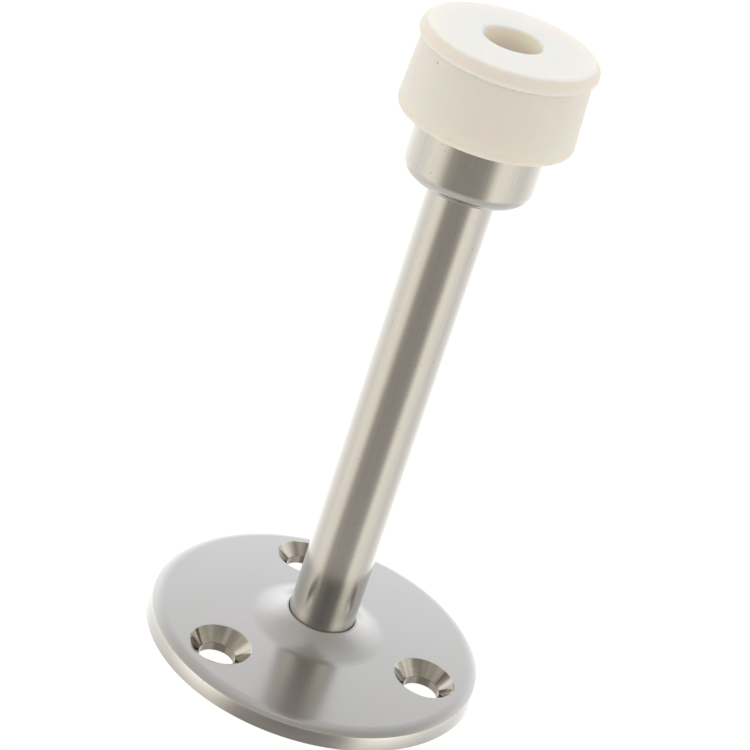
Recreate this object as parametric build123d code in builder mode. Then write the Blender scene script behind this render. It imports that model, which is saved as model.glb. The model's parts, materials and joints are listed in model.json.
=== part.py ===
from build123d import *
import os

# Wall-mounted door stop, in millimetres. The origin is the centre of the wall plate's back
# face. +Z runs out from the wall along the stem, towards the rubber buffer.

# Overall sizes
plate_dia = 51.0  # wall plate
projection = 100.0  # wall face to the buffer's front face

# Wall plate: a crowned disc that rolls over to a low rim and flares up to a boss
rim_height = 2.05  # up from the wall
rim_draft = 0.45  # how far the rim's front corner sits inside its foot
rim_bulge = 0.11  # how far the rim's edge stands outside a straight slope
rim_round = 0.25  # on the rim's front corner
back_round = 0.15  # on the rim's back corner
shoulder_width = 2.2  # width of the rolled-over edge
shoulder_height = 2.8  # face height where the roll-over starts
crown_height = 3.4  # face height at the boss's foot
crown_bulge = 0.06  # how far the crowned face stands above a straight cone
boss_foot_dia = 20.0
boss_height = 5.6  # wall face to the boss's top
boss_hollow = 0.35  # how far the flare dips below a straight cone
boss_foot_round = 5.0
boss_top_round = 0.2
boss_lip = 0.35  # flat ring between the flare and the stem's socket
socket_floor = 2.8  # height at which the stem's end seats

# Wall screw holes
wall_hole_count = 3
wall_hole_dia = 5.5
wall_sink_dia = 9.2  # countersink's mouth on the plate's face
wall_hole_offset = 0.25  # outwards from midway between the boss's foot and the rim
sink_angle = 90.0  # every countersink, and the countersunk screw's head

# Stem
tube_dia = 10.0
tube_wall = 1.0
tube_break = 0.15  # chamfer on the tube's two outer corners
plug_length = 12.0  # threaded plug pressed into each end of the tube
plug_chamfer = 0.5

# Machine screws, one at each end of the stem
base_thread_dia = 5.0
flat_head_dia = 9.2
base_screw_length = 12.0  # overall, head included
buffer_thread_dia = 4.0
pan_head_height = 2.6
pan_head_round = 1.2
buffer_screw_length = 20.0  # under the head
drive_span = 4.4  # tip to tip of the cross recess
drive_width = 1.1
drive_depth = 1.5
screw_tip_chamfer = 0.6

# Cup
cup_dia = 19.0
cup_height = 9.0
cup_wall = 1.0
cup_floor = 1.0
cup_base_round = 2.3
cup_rim_round = 0.3

# Rubber buffer
buffer_height = 12.6  # cup's rim to the front face
buffer_base_dia = 25.2
buffer_neck_dia = 24.0  # barrel just under the lip
buffer_base_round = 0.7
lip_dia = 25.2
lip_height = 2.3
lip_undercut = 0.25  # depth of the groove under the lip
lip_face_round = 1.5
lip_back_round = 0.7
recess_dia = 8.0  # way in to the buffer screw
recess_depth = 12.0
recess_mouth_round = 0.5

washer_thickness = 0.8  # washer under the buffer screw's head

# Fits, as radial gaps unless they say otherwise
socket_gap = 0.05  # stem in the boss's socket
socket_mouth_chamfer = 0.15  # shows as a thin dark line round the stem
screw_hole_gap = 0.15  # plate, cup and washer round a screw
thread_gap = 0.02  # screw in a tapped plug
flat_head_sink = 0.2  # axial: the base screw's head below the wall face
buffer_gap = 0.3  # rubber in the cup, and rubber round the buffer screw
washer_gap = 0.2  # washer in the buffer's recess
pan_head_gap = 0.3  # buffer screw's head in the buffer's recess

# Heights and radii that follow from the sizes above
cup_rim_z = projection - buffer_height
cup_base_z = cup_rim_z - cup_height
cup_floor_z = cup_base_z + cup_floor
recess_floor_z = projection - recess_depth
screw_seat_z = recess_floor_z + washer_thickness
base_thread_radius = base_thread_dia / 2
buffer_thread_radius = buffer_thread_dia / 2
socket_radius = tube_dia / 2 + socket_gap
plug_radius = tube_dia / 2 - tube_wall
spigot_radius = cup_dia / 2 - cup_wall - buffer_gap
hole_circle_radius = (plate_dia + boss_foot_dia) / 4 + wall_hole_offset
crown_drop_at_holes = (crown_height - shoulder_height) / 2


def cross_recess(mouth_z):
    """Outline of the driver's cross in a screw's head, at mouth_z."""
    with BuildSketch(Plane.XY.offset(mouth_z)) as cross:
        Rectangle(drive_span, drive_width)
        Rectangle(drive_width, drive_span)
    return cross.sketch


def threaded_plug(base_z, thread_radius):
    """A plug with a tapped bore, pressed into the tube with its lower end at base_z."""
    with BuildPart() as plug:
        with BuildSketch(Plane.XY.offset(base_z)):
            Circle(plug_radius)
            Circle(thread_radius + thread_gap, mode=Mode.SUBTRACT)
        extrude(amount=plug_length)
        end_rings = plug.edges().filter_by(GeomType.CIRCLE).group_by(SortBy.RADIUS)[-1]
        chamfer(end_rings, plug_chamfer)
    return plug


# Wall plate
with BuildPart() as base_plate:
    with BuildSketch(Plane.XZ) as plate_profile:
        with BuildLine():
            boss_top = (socket_radius + boss_lip, boss_height)
            boss_foot = (boss_foot_dia / 2, crown_height)
            shoulder = (plate_dia / 2 - shoulder_width, shoulder_height)
            rim_top = (plate_dia / 2 - rim_draft, rim_height)
            rim_back = (plate_dia / 2, 0)
            Polyline(rim_back, (0, 0), (0, boss_height), boss_top)
            SagittaArc(boss_top, boss_foot, -boss_hollow)
            crown = SagittaArc(boss_foot, shoulder, crown_bulge)
            TangentArc(shoulder, rim_top, tangent=crown % 1)
            SagittaArc(rim_top, rim_back, rim_bulge)
        make_face()
        plate_rounds = {
            rim_back: back_round,
            rim_top: rim_round,
            boss_foot: boss_foot_round,
            boss_top: boss_top_round,
        }
        for corner, corner_round in plate_rounds.items():
            fillet(plate_profile.vertices().sort_by_distance(corner)[0], corner_round)
    revolve(axis=Axis.Z)
    with BuildSketch(Plane.XY.offset(socket_floor)):
        Circle(socket_radius)
    extrude(amount=boss_height - socket_floor, mode=Mode.SUBTRACT)
    boss_rings = base_plate.edges().filter_by(GeomType.CIRCLE).group_by(Axis.Z)[-1]
    socket_mouth = boss_rings.sort_by(SortBy.RADIUS)[0]
    chamfer(socket_mouth, socket_mouth_chamfer)
    with Locations(Plane.XY.rotated((180, 0, 0))):
        CounterSinkHole(
            base_thread_radius + screw_hole_gap,
            flat_head_dia / 2 + flat_head_sink,
            depth=socket_floor,
            counter_sink_angle=sink_angle,
        )
    with Locations(Plane.XY.offset(crown_height)):
        with PolarLocations(hole_circle_radius, wall_hole_count, start_angle=90):
            CounterSinkHole(
                wall_hole_dia / 2,
                wall_sink_dia / 2 + crown_drop_at_holes,
                depth=crown_height,
                counter_sink_angle=sink_angle,
            )
base_plate.part.label = "base_plate"

# Stem
with BuildPart() as stem_tube:
    with BuildSketch(Plane.XY.offset(socket_floor)):
        Circle(tube_dia / 2)
        Circle(tube_dia / 2 - tube_wall, mode=Mode.SUBTRACT)
    extrude(amount=cup_base_z - socket_floor)
    tube_corners = stem_tube.edges().filter_by(GeomType.CIRCLE).group_by(SortBy.RADIUS)[-1]
    chamfer(tube_corners, tube_break)
stem_tube.part.label = "stem_tube"

lower_plug = threaded_plug(socket_floor, base_thread_radius)
lower_plug.part.label = "lower_plug"
upper_plug = threaded_plug(cup_base_z - plug_length, buffer_thread_radius)
upper_plug.part.label = "upper_plug"

# Countersunk screw, put in from the plate's back
with BuildPart() as base_screw:
    with BuildSketch(Plane.XZ):
        with BuildLine():
            head_base_z = flat_head_sink + flat_head_dia / 2 - base_thread_radius
            tip_z = flat_head_sink + base_screw_length
            Polyline(
                (0, flat_head_sink),
                (flat_head_dia / 2, flat_head_sink),
                (base_thread_radius, head_base_z),
                (base_thread_radius, tip_z),
                (0, tip_z),
                close=True,
            )
        make_face()
    revolve(axis=Axis.Z)
    chamfer(base_screw.edges().group_by(Axis.Z)[-1], screw_tip_chamfer)
    extrude(cross_recess(flat_head_sink), amount=drive_depth, mode=Mode.SUBTRACT)
base_screw.part.label = "base_screw"

# Cup on the stem's end
with BuildPart() as buffer_cup:
    with BuildSketch(Plane.XY.offset(cup_base_z)):
        Circle(cup_dia / 2)
    extrude(amount=cup_height)
    fillet(buffer_cup.edges().group_by(Axis.Z)[0], cup_base_round)
    with BuildSketch(Plane.XY.offset(cup_floor_z)):
        Circle(cup_dia / 2 - cup_wall)
    extrude(amount=cup_height - cup_floor, mode=Mode.SUBTRACT)
    floor_ring = buffer_cup.edges().filter_by_position(Axis.Z, cup_floor_z, cup_floor_z)
    fillet(floor_ring, cup_base_round - cup_wall)
    fillet(buffer_cup.edges().group_by(Axis.Z)[-1], cup_rim_round)
    with Locations(Plane.XY.offset(cup_floor_z)):
        Hole(buffer_thread_radius + screw_hole_gap)
buffer_cup.part.label = "buffer_cup"

# Rubber buffer: a spigot in the cup, a barrel that overhangs its rim, and a lip at the front
with BuildPart() as buffer:
    with BuildSketch(Plane.XZ) as buffer_profile:
        with BuildLine():
            lip_back_z = projection - lip_height
            bore_radius = buffer_thread_radius + buffer_gap
            spigot_corner = (spigot_radius, cup_floor_z)
            flange_corner = (buffer_base_dia / 2, cup_rim_z)
            lip_back_corner = (lip_dia / 2, lip_back_z)
            lip_face_corner = (lip_dia / 2, projection)
            recess_mouth = (recess_dia / 2, projection)
            Polyline(
                (bore_radius, cup_floor_z),
                spigot_corner,
                (spigot_radius, cup_rim_z),
                flange_corner,
                (buffer_neck_dia / 2, lip_back_z - lip_undercut),
                (buffer_neck_dia / 2 - lip_undercut, lip_back_z),
                lip_back_corner,
                lip_face_corner,
                recess_mouth,
                (recess_dia / 2, recess_floor_z),
                (bore_radius, recess_floor_z),
                close=True,
            )
        make_face()
        corner_rounds = {
            spigot_corner: cup_base_round - cup_wall,
            flange_corner: buffer_base_round,
            lip_back_corner: lip_back_round,
            lip_face_corner: lip_face_round,
            recess_mouth: recess_mouth_round,
        }
        for corner, corner_round in corner_rounds.items():
            fillet(buffer_profile.vertices().sort_by_distance(corner)[0], corner_round)
    revolve(axis=Axis.Z)
buffer.part.label = "buffer"

# Washer and pan-head screw at the bottom of the buffer's recess
with BuildPart() as buffer_washer:
    with BuildSketch(Plane.XY.offset(recess_floor_z)):
        Circle(recess_dia / 2 - washer_gap)
        Circle(buffer_thread_radius + screw_hole_gap, mode=Mode.SUBTRACT)
    extrude(amount=washer_thickness)
buffer_washer.part.label = "buffer_washer"

with BuildPart() as buffer_screw:
    with BuildSketch(Plane.XY.offset(screw_seat_z)):
        Circle(recess_dia / 2 - pan_head_gap)
    extrude(amount=pan_head_height)
    fillet(buffer_screw.edges().group_by(Axis.Z)[-1], pan_head_round)
    with BuildSketch(Plane.XY.offset(screw_seat_z)):
        Circle(buffer_thread_radius)
    extrude(amount=-buffer_screw_length)
    chamfer(buffer_screw.edges().group_by(Axis.Z)[0], screw_tip_chamfer)
    head_top = cross_recess(screw_seat_z + pan_head_height)
    extrude(head_top, amount=-drive_depth, mode=Mode.SUBTRACT)
buffer_screw.part.label = "buffer_screw"

os.makedirs("parts", exist_ok=True)
pieces = [
    base_plate,
    stem_tube,
    lower_plug,
    upper_plug,
    base_screw,
    buffer_cup,
    buffer,
    buffer_washer,
    buffer_screw,
]
for piece in pieces:
    export_step(piece.part, f"parts/{piece.part.label}.step")
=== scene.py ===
import json
import math

import bmesh
import bpy
from mathutils import Matrix, Vector, noise


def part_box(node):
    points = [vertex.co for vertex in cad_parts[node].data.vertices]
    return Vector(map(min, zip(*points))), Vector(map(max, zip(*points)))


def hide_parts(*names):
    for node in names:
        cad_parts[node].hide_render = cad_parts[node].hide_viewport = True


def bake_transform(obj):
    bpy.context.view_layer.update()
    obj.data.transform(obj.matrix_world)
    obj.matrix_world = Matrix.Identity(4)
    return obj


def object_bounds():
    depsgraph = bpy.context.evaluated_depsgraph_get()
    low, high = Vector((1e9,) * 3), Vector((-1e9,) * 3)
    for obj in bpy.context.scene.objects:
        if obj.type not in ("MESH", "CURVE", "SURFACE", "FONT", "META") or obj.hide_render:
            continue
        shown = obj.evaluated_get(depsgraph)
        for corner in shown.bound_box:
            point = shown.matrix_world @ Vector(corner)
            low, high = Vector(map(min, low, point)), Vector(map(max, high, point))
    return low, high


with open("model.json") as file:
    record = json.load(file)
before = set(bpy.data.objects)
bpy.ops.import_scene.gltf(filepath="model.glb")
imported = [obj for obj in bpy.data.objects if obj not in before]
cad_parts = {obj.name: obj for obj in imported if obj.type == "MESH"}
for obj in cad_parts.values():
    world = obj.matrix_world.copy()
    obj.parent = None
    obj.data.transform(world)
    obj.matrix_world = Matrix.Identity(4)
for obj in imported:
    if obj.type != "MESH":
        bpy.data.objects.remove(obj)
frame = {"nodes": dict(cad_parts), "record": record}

# The door stop stands on its wall plate, with +Z along the stem. Lengths are in metres.
MM = 0.001
cad_low, cad_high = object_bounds()

# Camera: a long lens that looks down on the stop, rolled so that the stem leans to the right
CAMERA_AZIMUTH = -15.91
CAMERA_ELEVATION = 27.46
CAMERA_ROLL = 18.49
CAMERA_DISTANCE = 0.3720
CAMERA_LENS = 126.3
SENSOR_WIDTH = 36.0
AIM_HEIGHT = 0.04675
AIM_RIGHT = -0.00356
AIM_UP = 0.00052

# Room and lights
ROOM_GAIN = 1.35
CEILING_FRONT = 0.50  # sine of the elevation where the ceiling starts, on the camera's side
CEILING_BEHIND = 0.25
CEILING_SOFTNESS_FRONT = 0.16
CEILING_SOFTNESS_BEHIND = 0.65
OVERHEAD_HEIGHT = 0.75
OVERHEAD_SIZE = 0.5
OVERHEAD_POWER = 1.15
OVERHEAD_COLOR = (0.78, 0.90, 1.0)
FLOOR_SIDE = 6.0
FLOOR_DROP = 0.02 * MM
FLOOR_GLOW = (0.97, 0.955, 0.93, 1)
FLOOR_ALBEDO = 0.12

# Plate details that its material follows
HOLE_BEARINGS = (90, 210, 330)
HOLE_RADIUS = 2.75 * MM
SINK_RADIUS = 4.6 * MM
SINK_ROUGHNESS = 0.13
# The wedges are painted highlights and painted shade round each countersink
SINK_TONE_SIZE = 1.6  # larger gives more light and dark wedges round each countersink
CUTTER_RINGS = 3800.0  # rings to the metre in the countersinks
CHATTER_RADIUS = 3.7 * MM
CHATTER_WIDTH = 0.12 * MM
PLATE_ROUGHNESS = 0.17, 0.22
TUBE_ROUGHNESS = 0.14, 0.20
TURNED_GRAIN = 4200.0  # lines to the metre, as the two below
PLATE_GRAIN = 5200.0
TUBE_GRAIN = 6000.0
PLATE_TONES = (0.596, 0.570, 0.578, 1), (0.560, 0.580, 0.582, 1)
# Painted highlights and painted shade for the countersinks
SINK_HIGHLIGHT_AND_SHADE_TONES = (0.38, 0.35, 0.31, 1), (0.64, 0.61, 0.56, 1)
# Painted shade inside the hole bores
BORE_SHADE_TONE = (0.27, 0.25, 0.23, 1)
# Painted highlight on the rim's front corner
CORNER_HIGHLIGHT_TONE = (0.74, 0.73, 0.71, 1)
NICK_TONE = (0.22, 0.20, 0.18, 1)
BOSS_RADIUS = 10.5 * MM
BOSS_ROUGHNESS = 0.27
EDGE_SHADE = 0.22  # how much darker the rim's edge is at the wall than at its front corner

TUBE_TONES = (0.55, 0.54, 0.522, 1), (0.58, 0.57, 0.55, 1)
PIT_TONE = (0.30, 0.27, 0.24, 1)
FOOT_ROUGHNESS = 0.23  # of the tube close to the plate, where a polishing wheel can't reach

# Plugs and fixings
BRASS_COLOR = (0.72, 0.52, 0.24)
BRASS_ROUGHNESS = 0.25
ZINC_COLOR = (0.66, 0.68, 0.71)
ZINC_ROUGHNESS = 0.22

# Rubber buffer, seated in the cup
BUFFER_SEGMENTS = 288
OUTLINE_STEP = 0.3 * MM
SKIN = 0.02 * MM  # how far the piece stays inside its CAD solid
BORE_RADIUS = 2.3 * MM
SPIGOT_RADIUS = 8.2 * MM
SPIGOT_ROUND = 1.3 * MM
NECK_RADIUS = 12.0 * MM
BASE_ROUND = 0.7 * MM
LIP_HEIGHT = 2.3 * MM
LIP_UNDERCUT = 0.25 * MM
LIP_BACK_ROUND = 0.7 * MM
LIP_FACE_ROUND = 1.5 * MM
RECESS_RADIUS = 4.0 * MM
RECESS_DEPTH = 12.0 * MM
RECESS_ROUND = 0.5 * MM
FLASH_LINE = 0.05 * MM  # how far the mould's parting line stands out
FLASH_HALF_WIDTH = 0.12 * MM
UNEVENNESS = 0.07 * MM  # deepest hollow in the moulded skin
UNEVENNESS_SIZE = 3.5 * MM
RUBBER_TONES = (0.798, 0.782, 0.735, 1), (0.815, 0.80, 0.755, 1)
# Painted light: the front face is paler where the light from above falls on it
LIT_FACE_TONE = (0.885, 0.885, 0.88, 1)
# Painted shade on the lip
LIP_SHADE_TONE = (0.765, 0.745, 0.715, 1)
# Painted light: light shining through the rubber into the top of the recess
RECESS_LIGHT_TONE = (0.99, 0.955, 0.885, 1)
# Painted shade at the barrel's foot
BARREL_FOOT_SHADE_TONE = (0.70, 0.69, 0.66, 1)
DUST_TONE = (0.30, 0.24, 0.17, 1)
SUBSURFACE_DEPTH = 4.0 * MM


class Nodes:
    """A node tree under construction: node() adds one node, and the rest are shorthand for common ones."""

    def __init__(self, owner):
        owner.use_nodes = True
        self.tree = owner.node_tree
        self.tree.nodes.clear()

    def node(self, kind, inputs=None, **settings):
        made = self.tree.nodes.new(kind)
        for key, value in settings.items():
            setattr(made, key, value)
        for key, value in (inputs or {}).items():
            self.feed(made.inputs[key], value)
        return made

    def feed(self, socket, value):
        if isinstance(value, bpy.types.NodeSocket):
            self.tree.links.new(value, socket)
        else:
            socket.default_value = value

    def math(self, operation, *values, clamp=False):
        inputs = dict(enumerate(values))
        return self.node("ShaderNodeMath", inputs, operation=operation, use_clamp=clamp).outputs[0]

    def vector(self, operation, *values, output="Vector"):
        return self.node("ShaderNodeVectorMath", dict(enumerate(values)), operation=operation).outputs[output]

    def scaled(self, vector, factor):
        return self.node("ShaderNodeVectorMath", {0: vector, "Scale": factor}, operation="SCALE").outputs[0]

    def spread(self, value, low, high, to_low=0.0, to_high=1.0, curve="SMOOTHSTEP"):
        """Value taken from the range low to high into the range to_low to to_high."""
        made = self.node("ShaderNodeMapRange", interpolation_type=curve)
        inputs = {"Value": value, "From Min": low, "From Max": high, "To Min": to_low, "To Max": to_high}
        for key, number in inputs.items():
            self.feed(made.inputs[key], number)
        return made.outputs[0]

    def ramp(self, factor, stops):
        made = self.node("ShaderNodeValToRGB", {0: factor})
        elements = made.color_ramp.elements
        while len(elements) < len(stops):
            elements.new(0.5)
        for element, (position, color) in zip(elements, stops):
            element.position = position
            element.color = color
        return made.outputs["Color"]

    def mix(self, factor, first, second, blend_type="MIX"):
        made = self.node("ShaderNodeMix", data_type="RGBA", blend_type=blend_type)
        for socket, value in zip((made.inputs[0], made.inputs[6], made.inputs[7]), (factor, first, second)):
            self.feed(socket, value)
        return made.outputs[2]

    def blend_values(self, factor, first, second):
        made = self.node("ShaderNodeMix", data_type="FLOAT")
        for socket, value in zip((made.inputs[0], made.inputs[2], made.inputs[3]), (factor, first, second)):
            self.feed(socket, value)
        return made.outputs[0]

    def noise(self, where, scale, detail=2.0, roughness=0.5):
        inputs = {"Vector": where, "Scale": scale, "Detail": detail, "Roughness": roughness}
        return self.node("ShaderNodeTexNoise", inputs).outputs[0]

    def bump(self, height, strength, distance, normal=None):
        inputs = {"Height": height, "Strength": strength, "Distance": distance}
        if normal is not None:
            inputs["Normal"] = normal
        return self.node("ShaderNodeBump", inputs).outputs[0]


def camera_axes():
    """Unit vectors of the camera: towards it from the stop, to its right and up."""
    azimuth = math.radians(CAMERA_AZIMUTH)
    elevation = math.radians(CAMERA_ELEVATION)
    back = Vector((
        math.sin(azimuth) * math.cos(elevation),
        -math.cos(azimuth) * math.cos(elevation),
        math.sin(elevation),
    ))
    level_right = Vector((math.cos(azimuth), math.sin(azimuth), 0))
    roll = Matrix.Rotation(math.radians(CAMERA_ROLL), 3, back)
    return back, roll @ level_right, roll @ back.cross(level_right)


def make_camera():
    back, right, up = camera_axes()
    on_stem = Vector((0, 0, AIM_HEIGHT))
    place = on_stem + back * CAMERA_DISTANCE
    aim = on_stem + right * AIM_RIGHT + up * AIM_UP
    away = (place - aim).normalized()
    side = up.cross(away).normalized()
    camera = bpy.data.objects.new("camera", bpy.data.cameras.new("camera"))
    camera.data.lens = CAMERA_LENS
    camera.data.sensor_width = SENSOR_WIDTH
    camera.data.clip_start = 0.01
    axes = Matrix((side, away.cross(side), away)).transposed().to_4x4()
    camera.matrix_world = Matrix.Translation(place) @ axes
    bpy.context.scene.collection.objects.link(camera)
    bpy.context.scene.camera = camera


def studio_world():
    """Soft studio surround: a bright ring of white walls, open on the camera's side, under a dim ceiling."""
    world = bpy.data.worlds.new("studio")
    bpy.context.scene.world = world
    n = Nodes(world)
    direction = n.node("ShaderNodeTexCoord").outputs["Generated"]
    turned = n.node(
        "ShaderNodeVectorRotate",
        {"Vector": direction, "Axis": (0, 0, 1), "Angle": math.radians(-CAMERA_AZIMUTH)},
    ).outputs[0]
    xyz = n.node("ShaderNodeSeparateXYZ", {0: turned}).outputs
    # 0.5 on the camera's side, rising to the right, and 0 and 1 behind the stop
    bearing = n.math("ARCTAN2", xyz[0], n.math("MULTIPLY", xyz[1], -1.0))
    around = n.math("MULTIPLY_ADD", bearing, 1 / math.tau, 0.5)

    def tones(stops):
        return n.ramp(around, [(0.5 + degrees / 360, color + (1,)) for degrees, color in stops])

    low_walls = tones([
        (-180, (1.28, 1.28, 1.28)),
        (-150, (1.20, 1.19, 1.16)),
        (-118, (0.96, 0.94, 0.88)),
        (-92, (0.80, 0.775, 0.72)),
        (-66, (0.93, 0.88, 0.78)),
        (-50, (0.88, 0.82, 0.72)),
        (-33, (0.36, 0.33, 0.29)),
        (-15, (0.30, 0.275, 0.245)),
        (20, (0.305, 0.28, 0.255)),
        (34, (0.38, 0.355, 0.31)),
        (50, (0.95, 0.90, 0.79)),
        (64, (0.92, 0.87, 0.78)),
        (97, (0.72, 0.70, 0.66)),
        (122, (0.88, 0.86, 0.82)),
        (150, (1.18, 1.17, 1.15)),
        (180, (1.28, 1.28, 1.28)),
    ])
    high_walls = tones([
        (-180, (0.86, 0.86, 0.86)),
        (-150, (1.00, 1.00, 1.00)),
        (-122, (0.84, 0.83, 0.80)),
        (-94, (0.82, 0.77, 0.67)),
        (-62, (1.28, 1.20, 1.06)),
        (-48, (1.02, 0.94, 0.82)),
        (-30, (0.28, 0.26, 0.24)),
        (0, (0.16, 0.145, 0.135)),
        (36, (0.24, 0.22, 0.20)),
        (50, (1.00, 0.95, 0.78)),
        (64, (1.28, 1.21, 1.04)),
        (96, (0.82, 0.77, 0.70)),
        (125, (0.78, 0.77, 0.75)),
        (180, (0.86, 0.86, 0.86)),
    ])
    ceiling = tones([
        (-180, (0.55, 0.54, 0.52)),
        (-100, (0.48, 0.46, 0.43)),
        (0, (0.36, 0.34, 0.30)),
        (100, (0.38, 0.37, 0.34)),
        (180, (0.55, 0.54, 0.52)),
    ])
    table = tones([
        (-180, (0.80, 0.79, 0.77)),
        (-90, (0.76, 0.74, 0.70)),
        (-30, (0.58, 0.56, 0.52)),
        (30, (0.54, 0.52, 0.48)),
        (90, (0.62, 0.61, 0.59)),
        (180, (0.80, 0.79, 0.77)),
    ])
    walls = n.mix(n.spread(xyz[2], -0.47, 0.42), low_walls, high_walls)
    walls = n.mix(n.spread(xyz[2], -0.64, -0.50), table, walls)
    behind = n.math("MULTIPLY_ADD", xyz[1], 0.5, 0.5, clamp=True)
    edge = n.blend_values(behind, CEILING_FRONT, CEILING_BEHIND)
    softness = n.blend_values(behind, CEILING_SOFTNESS_FRONT, CEILING_SOFTNESS_BEHIND)
    overhead = n.spread(xyz[2], edge, n.math("ADD", edge, softness))
    room = n.mix(overhead, walls, ceiling)
    lit = n.node("ShaderNodeBackground", {"Color": room, "Strength": ROOM_GAIN}).outputs[0]
    white = n.node("ShaderNodeBackground", {"Color": (1, 1, 1, 1), "Strength": 1.0}).outputs[0]
    seen = n.node("ShaderNodeLightPath").outputs["Is Camera Ray"]
    shader = n.node("ShaderNodeMixShader", {0: seen, 1: lit, 2: white}).outputs[0]
    n.node("ShaderNodeOutputWorld", {"Surface": shader})


def make_overhead_light():
    """Cool soft light from straight above, which the metal doesn't mirror."""
    lamp = bpy.data.objects.new("overhead", bpy.data.lights.new("overhead", "AREA"))
    lamp.data.shape = "DISK"
    lamp.data.size = OVERHEAD_SIZE
    lamp.data.energy = OVERHEAD_POWER
    lamp.data.color = OVERHEAD_COLOR
    lamp.location = (0, 0, OVERHEAD_HEIGHT)
    lamp.visible_glossy = False
    bpy.context.scene.collection.objects.link(lamp)


def make_floor():
    """Pale glowing table that the stop stands on. It shows from above only."""
    bpy.ops.mesh.primitive_plane_add(size=FLOOR_SIDE, location=(0, 0, cad_low.z - FLOOR_DROP))
    floor = bpy.context.object
    floor.name = "floor"
    material = bpy.data.materials.new("pale_table")
    n = Nodes(material)
    matte = n.node("ShaderNodeBsdfDiffuse", {"Color": (FLOOR_ALBEDO,) * 3 + (1,)}).outputs[0]
    glow = n.node("ShaderNodeEmission", {"Color": FLOOR_GLOW, "Strength": 1.0}).outputs[0]
    top = n.node("ShaderNodeAddShader", {0: matte, 1: glow}).outputs[0]
    clear = n.node("ShaderNodeBsdfTransparent").outputs[0]
    under = n.node("ShaderNodeNewGeometry").outputs["Backfacing"]
    shader = n.node("ShaderNodeMixShader", {0: under, 1: top, 2: clear}).outputs[0]
    n.node("ShaderNodeOutputMaterial", {"Surface": shader})
    floor.data.materials.append(material)
    floor.visible_glossy = False


def polar(n):
    """Object-space position of the shaded point: whole, and as heading from the Z axis, radius and height."""
    position = n.node("ShaderNodeTexCoord").outputs["Object"]
    xyz = n.node("ShaderNodeSeparateXYZ", {0: position}).outputs
    flat = n.node("ShaderNodeCombineXYZ", {0: xyz[0], 1: xyz[1]}).outputs[0]
    radius = n.vector("LENGTH", flat, output="Value")
    return position, n.vector("NORMALIZE", flat), radius, xyz[2]


def turning_marks(n, heading, along, rings_per_metre, arcs):
    """Noise drawn out round the Z axis: fine along the section, long in the direction of turning."""
    lift = n.node("ShaderNodeCombineXYZ", {2: n.math("MULTIPLY", along, rings_per_metre)}).outputs[0]
    return n.noise(n.vector("ADD", n.scaled(heading, arcs), lift), 1.0, 3.0, 0.6)


def steel_shader(n, tone, roughness, bump, anisotropy):
    tangent = n.node("ShaderNodeTangent", direction_type="RADIAL", axis="Z").outputs[0]
    shader = n.node("ShaderNodeBsdfPrincipled", {
        "Base Color": tone,
        "Metallic": 1.0,
        "Roughness": roughness,
        "Anisotropic": anisotropy,
        "Tangent": tangent,
        "Normal": bump,
    }).outputs[0]
    n.node("ShaderNodeOutputMaterial", {"Surface": shader})


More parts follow.
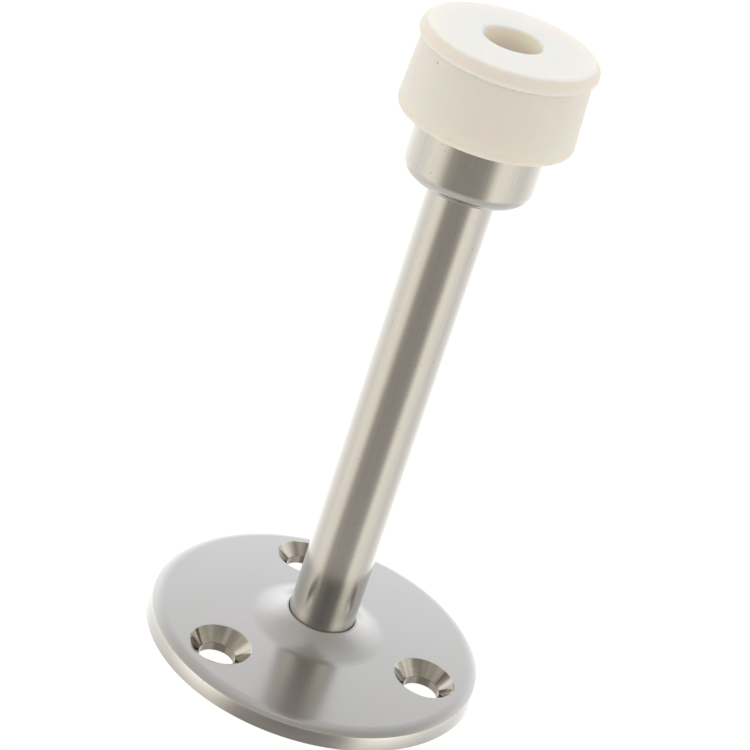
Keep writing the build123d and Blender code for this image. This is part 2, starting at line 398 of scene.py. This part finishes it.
def plate_steel():
    """Satin stainless plate: faint turning marks, clouding, cutter rings in the countersinks, a nicked rim
    with a painted highlight on its front corner and painted shade down its edge, painted highlights and shade
    in the countersinks, and painted shade in the bores.
    """
    material = bpy.data.materials.new("satin_plate_steel")
    n = Nodes(material)
    position, heading, radius, height = polar(n)
    marks = turning_marks(n, heading, radius, PLATE_GRAIN, 5.0)
    clouds = n.noise(position, 70.0, 3.0)
    tint = n.noise(position, 110.0, 2.0)
    tone = n.mix(tint, *PLATE_TONES)
    tone = n.mix(n.spread(clouds, 0.3, 0.7, 0.0, 0.10), tone, (0.50, 0.50, 0.50, 1))
    # Countersinks: fine cutter rings about each hole's own axis
    wall_screws = next(m for m in frame["record"]["mounts"] if m["name"] == "wall_screws")
    hole_circle = wall_screws["dims"]["pcd_mm"] / 2 * MM
    flat = n.vector("MULTIPLY", position, (1, 1, 0))
    from_hole = None
    spokes = (0, 0, 0)
    for degrees in HOLE_BEARINGS:
        bearing = math.radians(degrees)
        center = (hole_circle * math.cos(bearing), hole_circle * math.sin(bearing), 0)
        distance = n.vector("DISTANCE", flat, center, output="Value")
        from_hole = distance if from_hole is None else n.math("MINIMUM", from_hole, distance)
        spoke = n.vector("NORMALIZE", n.vector("SUBTRACT", flat, center))
        near = n.spread(distance, SINK_RADIUS, SINK_RADIUS + 0.2 * MM, 1.0, 0.0)
        spokes = n.vector("ADD", spokes, n.scaled(spoke, near))
    in_sink = n.math(
        "MULTIPLY",
        n.spread(from_hole, SINK_RADIUS, SINK_RADIUS + 0.1 * MM, 1.0, 0.0),
        n.spread(height, 0.02 * MM, 0.06 * MM),
    )
    ring_place = n.node("ShaderNodeCombineXYZ", {0: n.math("MULTIPLY", from_hole, CUTTER_RINGS)}).outputs[0]
    cutter = n.noise(ring_place, 1.0, 2.0)
    from_chatter = n.math("ABSOLUTE", n.math("SUBTRACT", from_hole, CHATTER_RADIUS))
    chatter = n.spread(from_chatter, 0.0, CHATTER_WIDTH, 1.0, 0.0)
    # Rim: a painted highlight brightens the front corner, which has tiny nicks
    corner = n.math(
        "MULTIPLY",
        n.spread(radius, cad_high.x - 0.7 * MM, cad_high.x - 0.5 * MM),
        n.spread(height, 1.7 * MM, 1.95 * MM),
    )
    nicks = n.math("MULTIPLY", corner, n.spread(n.noise(position, 900.0, 2.0), 0.70, 0.74))
    # Painted shade: the rim's edge darkens towards the plate's back
    edge = n.math(
        "MULTIPLY",
        n.spread(radius, cad_high.x - 0.6 * MM, cad_high.x - 0.5 * MM),
        n.spread(height, 0.0, 1.7 * MM, EDGE_SHADE, 0.0, "LINEAR"),
    )
    in_bore = n.spread(from_hole, HOLE_RADIUS + 0.02 * MM, HOLE_RADIUS + 0.08 * MM, 1.0, 0.0)
    # Painted highlights and shade: light and dark wedges round each countersink
    wedge_place = n.vector("ADD", n.scaled(spokes, SINK_TONE_SIZE), n.scaled(flat, 90.0))
    painted_sink_wedges = n.spread(n.noise(wedge_place, 1.0, 1.0), 0.38, 0.62)
    tone = n.mix(in_sink, tone, n.mix(painted_sink_wedges, *SINK_HIGHLIGHT_AND_SHADE_TONES))
    # Painted shade down the bores
    tone = n.mix(in_bore, tone, BORE_SHADE_TONE)
    tone = n.mix(edge, tone, (0, 0, 0, 1))
    # Painted highlight along the rim's front corner
    tone = n.mix(n.math("MULTIPLY", corner, 0.35), tone, CORNER_HIGHLIGHT_TONE)
    tone = n.mix(n.math("MULTIPLY", nicks, 0.6), tone, NICK_TONE)
    wear = n.math("ADD", clouds, n.math("MULTIPLY", marks, 0.3))
    roughness = n.spread(wear, 0.4, 0.9, *PLATE_ROUGHNESS, "LINEAR")
    on_boss = n.math(
        "MULTIPLY",
        n.spread(radius, BOSS_RADIUS - 1.5 * MM, BOSS_RADIUS, 1.0, 0.0),
        n.spread(height, 1.0 * MM, 2.0 * MM),
    )
    roughness = n.blend_values(on_boss, roughness, BOSS_ROUGHNESS)
    roughness = n.blend_values(in_sink, roughness, SINK_ROUGHNESS)
    grain = n.blend_values(in_sink, n.math("MULTIPLY", marks, 0.35), n.math("ADD", cutter, chatter))
    bump = n.bump(grain, n.blend_values(in_sink, 0.10, 0.35), 0.01 * MM)
    bump = n.bump(nicks, 0.5, -0.03 * MM, bump)
    steel_shader(n, tone, roughness, bump, 0.15)
    return material


def tube_steel(name):
    """Polished and lightly brushed stainless: fine lines round the stem, faint draw lines, sparse pits."""
    material = bpy.data.materials.new(name)
    n = Nodes(material)
    position, heading, radius, height = polar(n)
    marks = turning_marks(n, heading, n.math("ADD", height, radius), TUBE_GRAIN, 7.0)
    across = n.scaled(heading, 42.0)
    draw = n.noise(n.vector("ADD", across, n.vector("MULTIPLY", position, (0, 0, 110.0))), 1.0, 3.0, 0.55)
    pits = n.node("ShaderNodeTexVoronoi", {"Vector": position, "Scale": 620.0}).outputs[0]
    pit = n.spread(pits, 0.05, 0.11, 1.0, 0.0)
    tone = n.mix(n.spread(draw, 0.3, 0.7), *TUBE_TONES)
    tone = n.mix(n.math("MULTIPLY", pit, 0.4), tone, PIT_TONE)
    roughness = n.spread(n.math("ADD", marks, draw), 0.7, 1.3, *TUBE_ROUGHNESS, "LINEAR")
    roughness = n.blend_values(n.spread(height, 7 * MM, 15 * MM), FOOT_ROUGHNESS, roughness)
    bump = n.bump(marks, 0.05, 0.01 * MM)
    bump = n.bump(draw, 0.03, 0.02 * MM, bump)
    steel_shader(n, tone, roughness, bump, 0.25)
    return material


def turned_metal(name, color, roughness):
    """Machined metal with turning marks and slight clouding, for the fixings and plugs."""
    material = bpy.data.materials.new(name)
    n = Nodes(material)
    position, heading, radius, height = polar(n)
    marks = turning_marks(n, heading, n.math("ADD", height, radius), TURNED_GRAIN, 5.0)
    clouds = n.noise(position, 240.0, 3.0)
    tone = n.mix(n.spread(clouds, 0.3, 0.7), tuple(0.86 * c for c in color) + (1,), color + (1,))
    blur = n.spread(marks, 0.3, 0.7, roughness - 0.05, roughness + 0.05, "LINEAR")
    steel_shader(n, tone, blur, n.bump(marks, 0.2, 0.02 * MM), 0.2)
    return material


def buffer_rubber():
    """Cream moulded rubber: matte, translucent, clouded, with a few dust specks, painted light on the front
    face and in the recess, and painted shade on the lip and at the barrel's foot.
    """
    material = bpy.data.materials.new("cream_rubber")
    n = Nodes(material)
    position, _, radius, height = polar(n)
    clouds = n.noise(position, 130.0, 3.0)
    skin = n.noise(position, 2400.0, 3.0, 0.6)
    tone = n.mix(clouds, *RUBBER_TONES)
    face = n.math(
        "MULTIPLY",
        n.spread(height, cad_high.z - 0.45 * MM, cad_high.z - 0.05 * MM),
        n.spread(radius, RECESS_RADIUS, RECESS_RADIUS + 0.5 * MM),
    )
    # Painted light on the front face
    tone = n.mix(face, tone, LIT_FACE_TONE)
    on_lip = n.math(
        "MULTIPLY",
        n.spread(height, cad_high.z - LIP_HEIGHT, cad_high.z - LIP_HEIGHT + 0.3 * MM),
        n.math("SUBTRACT", 1.0, face),
    )
    # Painted shade on the lip
    tone = n.mix(on_lip, tone, LIP_SHADE_TONE)
    cup_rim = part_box("buffer_cup")[1].z
    # Painted shade: the barrel darkens towards the cup
    tone = n.mix(n.spread(height, cup_rim, cup_rim + 1.8 * MM, 0.7, 0.0), tone, BARREL_FOOT_SHADE_TONE)
    inside = n.math(
        "MULTIPLY",
        n.spread(height, cad_high.z - 1.1 * MM, cad_high.z - 0.1 * MM, 1.0, 0.0),
        n.spread(radius, RECESS_RADIUS + 0.4 * MM, RECESS_RADIUS + 0.6 * MM, 1.0, 0.0),
    )
    # Painted light in the top of the recess
    tone = n.mix(inside, tone, RECESS_LIGHT_TONE)
    dust = n.node("ShaderNodeTexVoronoi", {"Vector": position, "Scale": 230.0}).outputs[0]
    dust = n.spread(dust, 0.028, 0.05, 1.0, 0.0)
    tone = n.mix(n.math("MULTIPLY", dust, 0.55), tone, DUST_TONE)
    roughness = n.spread(clouds, 0.3, 0.7, 0.5, 0.62, "LINEAR")
    bump = n.bump(skin, 0.15, 0.03 * MM)
    shader = n.node("ShaderNodeBsdfPrincipled", {
        "Base Color": tone,
        "Roughness": roughness,
        "Specular IOR Level": 0.4,
        "Subsurface Weight": 1.0,
        "Subsurface Radius": (1.0, 0.62, 0.3),
        "Subsurface Scale": SUBSURFACE_DEPTH,
        "Normal": bump,
    }).outputs[0]
    n.node("ShaderNodeOutputMaterial", {"Surface": shader})
    return material


def rounded_outline(corners):
    """Points along a closed outline of (radius, height, rounding) corners, at even small steps."""
    spots = [Vector((r, z)) for r, z, rounding in corners]
    points = []
    for index, (spot, (r, z, rounding)) in enumerate(zip(spots, corners)):
        to_last = (spots[index - 1] - spot).normalized()
        to_next = (spots[(index + 1) % len(spots)] - spot).normalized()
        half_angle = to_last.angle(to_next) / 2
        reach = rounding / math.tan(half_angle)
        if reach == 0:
            points.append(spot)
            continue
        center = spot + (to_last + to_next).normalized() * rounding / math.sin(half_angle)
        start = spot + to_last * reach - center
        end = spot + to_next * reach - center
        sweep = start.angle(end)
        steps = max(4, round(rounding * sweep / OUTLINE_STEP * 2))
        for step in range(steps + 1):
            share = step / steps
            swing = (start * math.sin((1 - share) * sweep) + end * math.sin(share * sweep)) / math.sin(sweep)
            points.append(center + swing)
    outline = []
    for point, following in zip(points, points[1:] + points[:1]):
        steps = max(1, math.ceil((following - point).length / OUTLINE_STEP))
        outline += [point.lerp(following, step / steps) for step in range(steps)]
    return outline


def buffer_outline():
    """The buffer's half section, from its bore round the spigot, barrel and lip to the recess."""
    low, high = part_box("buffer")
    cup_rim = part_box("buffer_cup")[1].z
    lip_radius = high.x - SKIN
    front = high.z - SKIN
    lip_back = high.z - LIP_HEIGHT
    return rounded_outline([
        (BORE_RADIUS + SKIN, low.z + SKIN, 0),
        (SPIGOT_RADIUS - SKIN, low.z + SKIN, SPIGOT_ROUND),
        (SPIGOT_RADIUS - SKIN, cup_rim + SKIN, 0),
        (lip_radius, cup_rim + SKIN, BASE_ROUND),
        (NECK_RADIUS - SKIN, lip_back - LIP_UNDERCUT, 0),
        (NECK_RADIUS - LIP_UNDERCUT - SKIN, lip_back + SKIN, 0),
        (lip_radius, lip_back + SKIN, LIP_BACK_ROUND),
        (lip_radius, front, LIP_FACE_ROUND),
        (RECESS_RADIUS + SKIN, front, RECESS_ROUND),
        (RECESS_RADIUS + SKIN, high.z - RECESS_DEPTH + SKIN, 0),
        (BORE_RADIUS + SKIN, high.z - RECESS_DEPTH + SKIN, 0),
    ])


def make_buffer():
    """Moulded buffer, with the uneven skin and the parting line of a real moulding."""
    outline = buffer_outline()
    lip_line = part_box("buffer")[1].z - LIP_FACE_ROUND
    mesh = bmesh.new()
    rings = []
    for segment in range(BUFFER_SEGMENTS):
        turn = math.tau * segment / BUFFER_SEGMENTS
        outward = Vector((math.cos(turn), math.sin(turn), 0))
        ring = []
        for r, z in outline:
            place = outward * r + Vector((0, 0, z))
            hollow = UNEVENNESS * (0.5 + 0.5 * noise.noise(place / UNEVENNESS_SIZE))
            if r > SPIGOT_RADIUS:
                flash = max(0.0, 1 - abs(z - lip_line) / FLASH_HALF_WIDTH)
                place -= outward * (hollow + FLASH_LINE * (1 - flash))
            ring.append(mesh.verts.new(place))
        rings.append(ring)
    count = len(outline)
    for ring, following in zip(rings, rings[1:] + rings[:1]):
        for index in range(count):
            above = (index + 1) % count
            mesh.faces.new((ring[index], following[index], following[above], ring[above]))
    bmesh.ops.recalc_face_normals(mesh, faces=mesh.faces)
    data = bpy.data.meshes.new("rubber_buffer")
    mesh.to_mesh(data)
    mesh.free()
    data.polygons.foreach_set("use_smooth", [True] * len(data.polygons))
    piece = bpy.data.objects.new("rubber_buffer", data)
    bpy.context.scene.collection.objects.link(piece)
    piece.data.materials.append(buffer_rubber())
    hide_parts("buffer")
    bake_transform(piece)


make_camera()
studio_world()
make_overhead_light()
make_floor()
bpy.context.scene.view_settings.view_transform = "Standard"

brass = turned_metal("turned_brass", BRASS_COLOR, BRASS_ROUGHNESS)
zinc = turned_metal("zinc_plating", ZINC_COLOR, ZINC_ROUGHNESS)
node_materials = {
    "base_plate": plate_steel(),
    "stem_tube": tube_steel("brushed_tube_steel"),
    "buffer_cup": tube_steel("satin_cup_steel"),
    "lower_plug": brass,
    "upper_plug": brass,
    "base_screw": zinc,
    "buffer_screw": zinc,
    "buffer_washer": zinc,
}
for node_name, material in node_materials.items():
    frame["nodes"][node_name].material_slots[0].material = material
make_buffer()
